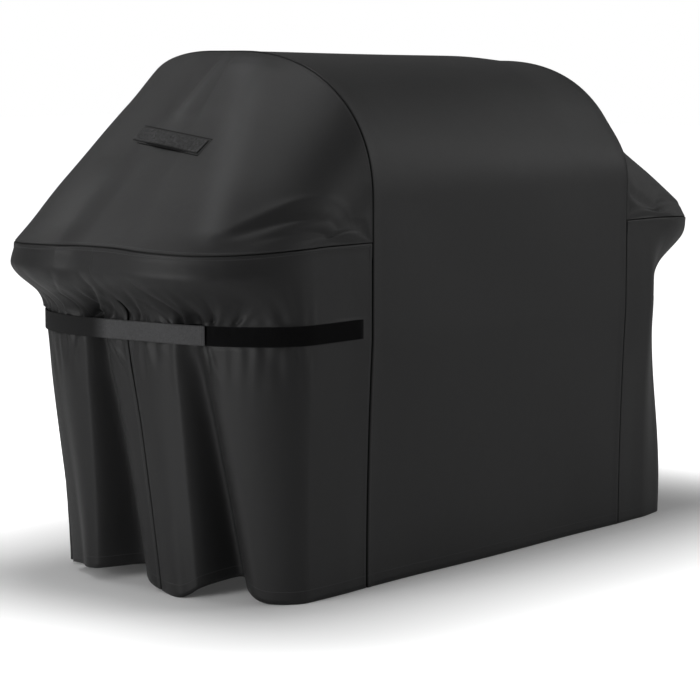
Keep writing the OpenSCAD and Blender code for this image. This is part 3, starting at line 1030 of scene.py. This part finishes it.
class GRILLCOVER_OT_end_panels(bpy.types.Operator):
    """Makes the two sloping panels from the hood down to the shelf edge"""
    bl_idname = "grillcover.end_panels"
    bl_label = "End Panels"

    def execute(self, context):
        form, sizes = shape(), context.scene.cover_sizes
        slope = math.hypot(form.half_len - form.hood, form.height - form.shelf)
        length = form.run_at_shelf[-1]
        for side in SIDES:
            end = half(side)

            def place(u, v):
                return end.gusset(np.interp(u, form.run_at_shelf, form.places), v / slope)

            def from_seam(u, v):
                return np.minimum(v, slope - v)

            def extras(u, v):
                low = v < slope / 2
                arch_share = 0.85
                t = np.interp(u, form.run_at_shelf, form.places)
                return {"edge": from_seam(u, v), "along": np.where(low, u, u * arch_share),
                        "hem": np.full(u.shape, 1.0), "painted_crest_highlight": end.painted_crest_highlight(t, v / slope)}

            def relief(u, v):
                dip, _ = seam_dip(from_seam(u, v), 0.0)
                return dip * sizes.groove

            name = side + "_end_panel_cloth"
            mesh = formed_sheet(name, spaced(0.0004, length - 0.0004, 0.008),
                                spaced(0, slope, 0.0085, (True, True)), place,
                                lambda u, v: np.stack([u, v], -1), INSIDE, extras, relief)
            piece = new_piece(name, mesh, finish("cover_cloth"))
            thicken(piece, sizes.cloth)
            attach(piece, "cover")
            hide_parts(side + "_end_panel")
        return {"FINISHED"}


def skirt_rows(form):
    """Heights for a skirt's rows: close together about the strap, where the gathers are."""
    low = np.arange(0, form.strap_foot - 0.05, 0.0095)
    close = np.arange(low[-1] + 0.006, form.strap_top + 0.100, 0.0036)
    high = spaced(close[-1] + 0.006, form.shelf, 0.0070, (False, True))
    return np.concatenate([low, close, high])


class GRILLCOVER_OT_skirts(bpy.types.Operator):
    """Makes the gathered skirts, each in a front and a back half"""
    bl_idname = "grillcover.skirts"
    bl_label = "Skirts"

    def execute(self, context):
        form, sizes = shape(), context.scene.cover_sizes
        middle, last = form.at_strap(2.5), form.run_at_strap[-1]
        for side in SIDES:
            end = half(side)
            for part, low, high in (("front", 0.0, middle), ("back", middle, last)):
                def place(u, v):
                    return end.skirt(form.place_of(u), v)

                def cut(u, v):
                    across = np.interp(form.place_of(u), form.places, form.run_at_shelf)
                    return np.stack([across, v], -1)

                def side_seam(u, v):
                    smooth = 0.03 * ease((v - form.strap_top - 0.035) / 0.03)
                    at_arch, at_end = u - low, high - u
                    if part == "back":
                        at_arch, at_end = at_end, at_arch
                    return np.minimum(at_arch, at_end + smooth)

                def from_seam(u, v):
                    return np.minimum(side_seam(u, v), form.shelf - v)

                def extras(u, v):
                    along = np.where(side_seam(u, v) < form.shelf - v, v, u)
                    return {"edge": from_seam(u, v), "along": along, "hem": v}

                def relief(u, v):
                    dip, ridge = seam_dip(from_seam(u, v), 0.0010)
                    return dip * sizes.groove + ridge * (form.shelf - v < 0.03)

                name = f"{side}_skirt_{part}_cloth"
                mesh = formed_sheet(name, spaced(low, high, 0.0034, (True, True)),
                                    skirt_rows(form), place, cut, INSIDE, extras, relief)
                piece = new_piece(name, mesh, finish("cover_cloth"))
                thicken(piece, sizes.cloth)
                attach(piece, "cover")
                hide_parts(f"{side}_skirt_{part}")
        return {"FINISHED"}


def strip(name, low, high, pitch, width, place, slot, thickness, marks, inside, relief=None):
    """A length of webbing or tape. u runs along it, v across it, and marks(u) gives how far
    each point is from a free end and from a sewn one."""
    def extras(u, v):
        free, sewn = marks(u)
        return {"free": free, "sewn": sewn, "edge": width / 2 - np.abs(v), "along": u,
                "hem": np.full(u.shape, 1.0)}

    us = np.linspace(low, high, max(3, int(round((high - low) / pitch)) + 1))
    vs = np.linspace(-width / 2, width / 2, 11)
    mesh = formed_sheet(name, us, vs, place, lambda u, v: np.stack([u, v], -1), inside, extras,
                        relief)
    piece = new_piece(name, mesh, finish(slot))
    thicken(piece, thickness)
    rim = piece.modifiers.new("Rim", "BEVEL")
    rim.width = thickness * 0.3
    rim.segments = 2
    rim.limit_method = "ANGLE"
    rim.angle_limit = math.radians(60)
    rim.harden_normals = False
    return piece


# How far off the cloth a strap lies, and its places: its tip, where its two lengths meet,
# where its anchor is sewn down and where it ends
STRAP_OFF = 5.65 * MM
TIP_PLACE, LAP_PLACE, ANCHOR_PLACE, ANCHOR_END = 1.756, 3.5, 4.08, 4.4


class GRILLCOVER_OT_straps(bpy.types.Operator):
    """Makes the cinch straps round the ends, with their sewn anchors and free ends"""
    bl_idname = "grillcover.straps"
    bl_label = "Cinch Straps"

    def execute(self, context):
        form, sizes = shape(), context.scene.cover_sizes
        width = 2 * form.strap_half
        tip, lap = form.at_strap(TIP_PLACE), form.at_strap(LAP_PLACE)
        sewn_end = form.at_strap(ANCHOR_END)
        for side, sign in SIDES.items():
            def line(u, v):
                t = form.place_of(u)
                sewn = ease((t - ANCHOR_PLACE + 0.02) / 0.10)
                out = STRAP_OFF - 3.1 * MM * sewn
                bulge = 0.9 * MM * (1 + wave(u, v * 0.2, 61, 0.13)) * (1 - sewn)
                bulge = bulge * ease((u - tip) / 0.03) + 0.0 * v
                x, y = form.outline(t, form.strap_mid, out)
                nx, ny = form.outward(t, form.strap_mid)
                z = form.strap_mid + v + 1.4 * MM * wave(u, 0 * u, 67 + int(sign), 0.5)
                return np.stack([(x + nx * bulge) * sign, y + ny * bulge, z], -1)

            inside = (0.55 * sign, 0.0, form.strap_mid)
            front = strip(side + "_strap_webbing", tip, lap, 0.0045, width, line,
                          "cinch_webbing", sizes.webbing,
                          lambda u: (u - tip, np.full(u.shape, 1.0)), inside)
            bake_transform(front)
            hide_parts(side + "_strap", side + "_strap_tab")
            back = strip(side + "_strap_anchor_webbing", lap, sewn_end, 0.0045, width, line,
                         "cinch_webbing", sizes.webbing,
                         lambda u: (np.full(u.shape, 1.0), sewn_end - u), inside)
            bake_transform(back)
            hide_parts(side + "_strap_anchor")
        return {"FINISHED"}


class GRILLCOVER_OT_fixings(bpy.types.Operator):
    """Makes the loop strips that the straps' free ends hold to, and finishes the hook pads"""
    bl_idname = "grillcover.fixings"
    bl_label = "Loop Strips and Hook Pads"

    def execute(self, context):
        form = shape()
        low_box, high_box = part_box("left_loop_strip")
        end_at = form.at_strap(LOOP_TO)
        for side in SIDES:
            end = half(side)
            start = form.at_strap(end.loop_from)

            def line(u, v):
                return end.skirt(form.place_of(u), form.strap_mid + v)

            width = high_box[2] - low_box[2]
            piece = strip(side + "_loop_strip_pile", start, end_at, 0.0045, width, line,
                          "loop_pile", 1.3 * MM,
                          lambda u: (np.minimum(u - start, end_at - u), np.full(u.shape, 1.0)),
                          (0.0, 0.0, form.strap_mid), lambda u, v: 1.7 * MM + 0 * u)
            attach(piece, "cover")
            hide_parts(side + "_loop_strip")
            pad = frame["nodes"][side + "_hook_pad"]
            pad.data.materials.clear()
            pad.data.materials.append(finish("hook_tape"))
        return {"FINISHED"}


class GRILLCOVER_OT_handles(bpy.types.Operator):
    """Makes the handle on each sloping panel: its backing patch and its webbing"""
    bl_idname = "grillcover.handles"
    bl_label = "Handles"

    def execute(self, context):
        sizes = context.scene.cover_sizes
        reach = sizes.handle_length / 2
        loose = reach - sizes.handle_end - 0.0005
        width = 38 * MM
        for side, sign in SIDES.items():
            lift = hinge(side + "_handle_lift")
            along = np.array(joint(side + "_handle_lift")["axis"]) * -sign
            run, rise = END_HIGH[0] - CENTRE_HIGH[0], CENTRE_HIGH[2] - END_LOW[2]
            slope = math.hypot(run, rise)
            out = np.array([rise / slope * sign, 0.0, run / slope])
            up = np.cross(out, along) * sign
            centre = np.array(lift) - up * width / 2 - out * 2.7 * MM
            below = centre - out * 0.2

            def placed(x, y, z):
                return centre + x[:, None] * along + y[:, None] * up + z[:, None] * out

            def patch_line(u, v):
                return placed(u, v, np.full(u.shape, 0.9 * MM))

            half_patch = reach + 0.005
            patch_width = 48 * MM
            patch = strip(side + "_handle_backing_cloth", -half_patch, half_patch, 0.004,
                          patch_width, patch_line, "cover_cloth", 0.7 * MM,
                          lambda u: (half_patch - np.abs(u), np.full(u.shape, 1.0)), below)
            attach(patch, "cover")
            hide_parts(side + "_handle_backing")
            for part, toward in (("front", -1.0), ("back", 1.0)):
                def grip_line(u, v):
                    free = np.clip(1 - (u / loose) ** 2, 0, 1)
                    sewn = ease((u - loose + 0.004) / 0.010)
                    stand = 3.4 * MM * (1 - sewn) + 3.0 * MM * sewn
                    ruck = 0.5 * MM * wave(u * toward, v, 71 + int(sign), 0.05) * (1 - sewn)
                    stand = stand + free * (3.4 * MM - v * 0.14) + ruck * free ** 0.5
                    droop = -2.2 * MM * free + 0.5 * MM * wave(u, 0 * u, 77, 0.1) * free
                    flare = 1 + 0.03 * free
                    return placed(u * toward, v * flare + droop, stand)

                grip = strip(f"{side}_handle_webbing_{part}", 0.0, reach, 0.003, width,
                             grip_line, "handle_webbing", sizes.webbing,
                             lambda u: (np.full(u.shape, 1.0), reach - u), below)
                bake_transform(grip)
                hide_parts(side + "_handle_grip", side + "_handle_ends")
        return {"FINISHED"}


class GRILLCOVER_OT_seam_tapes(bpy.types.Operator):
    """Makes the tapes that cover the seams inside"""
    bl_idname = "grillcover.seam_tapes"
    bl_label = "Seam Tapes"

    def execute(self, context):
        form = shape()
        width = 24 * MM
        middle = form.at_strap(2.5)
        length, arch_length = form.run_at_shelf[-1], form.run_at_arch[-1]
        for side, sign in SIDES.items():
            end = half(side)

            def slope(t):
                climb = end.gusset(t, np.ones(t.shape)) - end.gusset(t, np.zeros(t.shape))
                return np.maximum(np.linalg.norm(climb, axis=-1), width)

            def shelf_line(u, v):
                t = np.interp(u, form.run_at_shelf, form.places)
                low = end.skirt(t, form.shelf + np.minimum(v, 0))
                high = end.gusset(t, np.maximum(v, 0) / slope(t))
                return np.where((v < 0)[:, None], low, high)

            def arch_line(u, v):
                t = np.interp(u, form.run_at_arch, form.places)
                low = end.gusset(t, 1 + np.minimum(v, 0) / slope(t))
                a = form.arch_place(t)
                y, z = form.arch_point(a)
                iy, iz = form.arch_inward(a)
                drop = form.hood_drop((form.hood - v) * sign, a)
                high = np.stack([(form.hood - v) * sign + 0 * y, y + iy * drop, z + iz * drop], -1)
                return np.where((v < 0)[:, None], low, high)

            def end_line(u, v):
                return end.skirt(form.place_of(middle + v), u)

            inside = (0.45 * sign, 0.0, 0.55)
            lines = (("shelf_seam_tape", shelf_line, 0.002, length - 0.002),
                     ("arch_seam_tape", arch_line, 0.002, arch_length - 0.002),
                     ("end_seam_tape", end_line, 0.03, form.shelf - 0.02))
            for part, line, low, high in lines:
                piece = strip(f"{side}_{part}_cloth", low, high, 0.008, width, line, "seam_tape",
                              0.6 * MM, lambda u: (np.full(u.shape, 1.0),) * 2, inside,
                              lambda u, v: -4.0 * MM + 0 * u)
                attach(piece, "cover")
                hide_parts(f"{side}_{part}")
                high - low
        return {"FINISHED"}


def softbox(name, place, target, width, height, power):
    light = bpy.data.lights.new(name, "AREA")
    light.shape = "RECTANGLE"
    light.size = width
    light.size_y = height
    light.energy = power
    lamp = bpy.data.objects.new(name, light)
    lamp.location = place
    lamp.rotation_euler = (Vector(target) - Vector(place)).to_track_quat("-Z", "Y").to_euler()
    bpy.context.scene.collection.objects.link(lamp)
    return lamp


class GRILLCOVER_OT_studio(bpy.types.Operator):
    """Sets up the camera, the pale floor, the white room and the lights"""
    bl_idname = "grillcover.studio"
    bl_label = "Studio"

    def execute(self, context):
        scene, studio = context.scene, context.scene.cover_studio
        lens = bpy.data.cameras.new("Camera")
        lens.lens = 131.0
        lens.sensor_width = 36.0
        camera = bpy.data.objects.new("Camera", lens)
        camera.location = (-4.2976, -3.3943, 1.0315)
        camera.rotation_euler = (math.radians(83.5), 0.0, math.radians(-51.0))
        scene.collection.objects.link(camera)
        scene.camera = camera

        ground = bmesh.new()
        bmesh.ops.create_grid(ground, x_segments=1, y_segments=1, size=30)
        mesh = bpy.data.meshes.new("floor")
        ground.to_mesh(mesh)
        ground.free()
        floor = bpy.data.objects.new("floor", mesh)
        floor.location = (0, 0, -0.001)
        scene.collection.objects.link(floor)
        matt = Finish("pale_floor", Roughness=0.9, Base_Color=(0.9, 0.9, 0.9, 1.0),
                      Emission_Strength=1.0)
        # Painted shadow: the floor's glow, seen by the camera only, is dim beside the cover's
        # footprint and full white from about 0.6 m away.
        seen = Value(matt, matt.node("ShaderNodeLightPath").outputs["Is Camera Ray"])
        split = matt.node("ShaderNodeSeparateXYZ", {}, [matt.place.outputs["Object"]])
        past_end = (abs(Value(matt, split.outputs["X"])) - 0.74).most(0.0)
        past_side = (abs(Value(matt, split.outputs["Y"])) - 0.30).most(0.0)
        away = (past_end * past_end + past_side * past_side) ** 0.5
        far = matt.limited(away / 0.60) ** 1.6
        matt.set(Emission_Color=matt.blend(seen * (0.04 + far * 0.96), rgba((0, 0, 0)),
                                           rgba((1, 1, 1))))
        mesh.materials.append(matt.material)

        world = bpy.data.worlds.new("room")
        scene.world = world
        world.use_nodes = True
        tree = world.node_tree
        tree.nodes.clear()
        path = tree.nodes.new("ShaderNodeLightPath")
        dim = tree.nodes.new("ShaderNodeBackground")
        dim.inputs["Strength"].default_value = studio.room
        bright = tree.nodes.new("ShaderNodeBackground")
        bright.inputs["Strength"].default_value = 1.0
        for ground_light in (dim, bright):
            ground_light.inputs["Color"].default_value = (1, 1, 1, 1)
        mixed = tree.nodes.new("ShaderNodeMixShader")
        tree.links.new(path.outputs["Is Camera Ray"], mixed.inputs[0])
        tree.links.new(dim.outputs[0], mixed.inputs[1])
        tree.links.new(bright.outputs[0], mixed.inputs[2])
        output = tree.nodes.new("ShaderNodeOutputWorld")
        tree.links.new(mixed.outputs[0], output.inputs["Surface"])

        scene.view_settings.view_transform = "Standard"
        softbox("key", (-4.6, 1.5, 3.1), (-0.6, 0, 0.55), 1.8, 1.8, studio.key)
        softbox("end", (-5.0, 0.2, 1.1), (-0.6, 0, 0.5), 1.6, 1.6, studio.end)
        softbox("side", (4.6, -1.0, 3.4), (0.6, 0, 0.8), 2.0, 2.0, studio.side)
        softbox("front", (4.3, -3.9, 2.5), (0.1, 0, 0.7), 2.2, 1.0, studio.front)
        softbox("top", (-0.6, 0.05, 4.3), (-0.7, 0, 0.8), 1.2, 1.2, studio.top)
        softbox("back", (-1.2, 3.4, 3.9), (-0.7, 0, 0.8), 1.6, 1.6, studio.back)
        return {"FINISHED"}


class GRILLCOVER_PT_panel(bpy.types.Panel):
    """Lists the steps that make the cover"""
    bl_idname = "GRILLCOVER_PT_panel"
    bl_label = "Grill Cover"
    bl_space_type = "VIEW_3D"
    bl_region_type = "UI"
    bl_category = "Grill Cover"

    def draw(self, context):
        scene = context.scene
        for group in GROUPS:
            box = self.layout.box()
            box.label(text=group.__name__)
            for prop in group.__annotations__:
                box.prop(getattr(scene, GROUPS[group]), prop)
        for step in STEPS:
            self.layout.operator(step.bl_idname)


GROUPS = {CoverSizes: "cover_sizes", CoverFolds: "cover_folds",
          CoverColours: "cover_colours", StudioSettings: "cover_studio"}
STEPS = (GRILLCOVER_OT_centre_panel, GRILLCOVER_OT_end_panels, GRILLCOVER_OT_skirts,
         GRILLCOVER_OT_straps, GRILLCOVER_OT_fixings, GRILLCOVER_OT_handles,
         GRILLCOVER_OT_seam_tapes, GRILLCOVER_OT_studio)


def register():
    for group, name in GROUPS.items():
        bpy.utils.register_class(group)
        setattr(bpy.types.Scene, name, bpy.props.PointerProperty(type=group))
    for step in STEPS:
        bpy.utils.register_class(step)
    bpy.utils.register_class(GRILLCOVER_PT_panel)


def unregister():
    bpy.utils.unregister_class(GRILLCOVER_PT_panel)
    for step in reversed(STEPS):
        bpy.utils.unregister_class(step)
    for group, name in GROUPS.items():
        delattr(bpy.types.Scene, name)
        bpy.utils.unregister_class(group)


def main():
    register()
    bpy.ops.grillcover.centre_panel()
    bpy.ops.grillcover.end_panels()
    bpy.ops.grillcover.skirts()
    bpy.ops.grillcover.straps()
    bpy.ops.grillcover.fixings()
    bpy.ops.grillcover.handles()
    bpy.ops.grillcover.seam_tapes()
    bpy.ops.grillcover.studio()
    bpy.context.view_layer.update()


if __name__ == "__main__":
    main()
